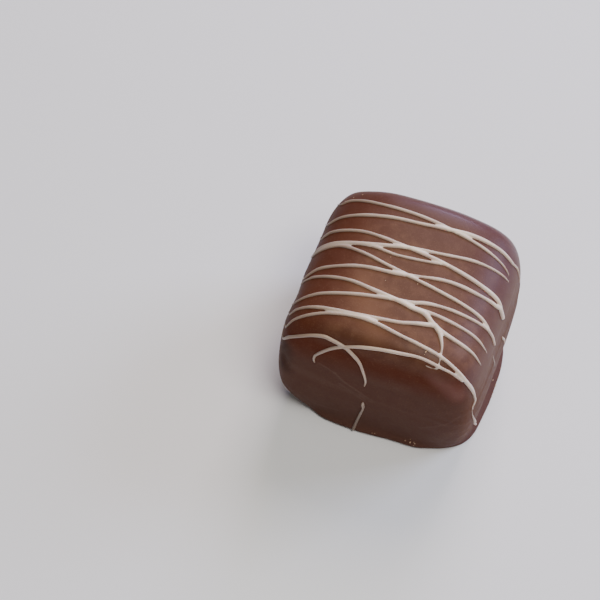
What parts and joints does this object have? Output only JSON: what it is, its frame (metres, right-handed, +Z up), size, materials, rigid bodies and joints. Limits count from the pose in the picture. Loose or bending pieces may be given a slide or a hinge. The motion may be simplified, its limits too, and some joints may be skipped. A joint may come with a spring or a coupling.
{
  "type": "marshmallow bite",
  "caption": "Coated marshmallow lying on its side, a rounded block in chocolate with a thin foot at its base and thick white drizzle across its top and over its sides.",
  "frame": {"origin": "middle of the base, on the surface that the bite rests on", "axes": "+Z up; +X across the bite, the way the drizzle runs; +Y along the marshmallow's length, away from the near end"},
  "size_m": [0.0344, 0.0314, 0.0295],
  "materials": {
    "chocolate": "milk chocolate with a satin gloss and a faint grey bloom",
    "white_drizzle": "smooth cream-white confectionery coating with a soft gloss"
  },
  "bodies": {
    "root": {"marshmallow_bite": "chocolate"}
  },
  "joints": []
}
